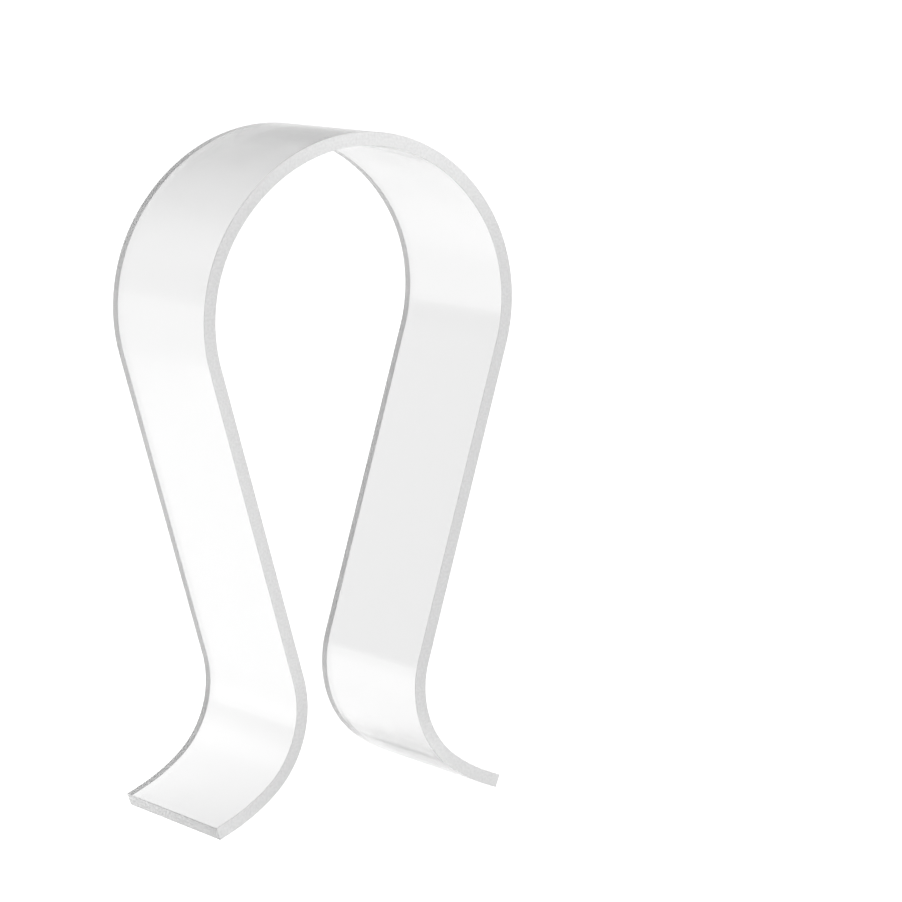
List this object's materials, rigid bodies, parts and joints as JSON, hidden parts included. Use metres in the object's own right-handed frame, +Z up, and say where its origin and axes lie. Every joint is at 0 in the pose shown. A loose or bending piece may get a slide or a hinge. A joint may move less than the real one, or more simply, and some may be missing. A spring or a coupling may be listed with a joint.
{
  "type": "headphone stand",
  "caption": "Free-standing headphone stand bent from a strip of clear acrylic: a round crown for the headband, legs that lean in and feet that flare out.",
  "frame": {"origin": "on the desk, midway between the feet and midway between the front and back edges", "axes": "+X to the right across the feet, +Y to the back along the strip's width and every bend's axis, +Z up through the middle of the crown"},
  "size_m": [0.1388, 0.06, 0.253],
  "materials": {
    "clear_acrylic": "clear cast acrylic with a light frost on its faces and finely sanded edges"
  },
  "bodies": {
    "root": {"acrylic_band": "clear_acrylic"}
  },
  "joints": []
}
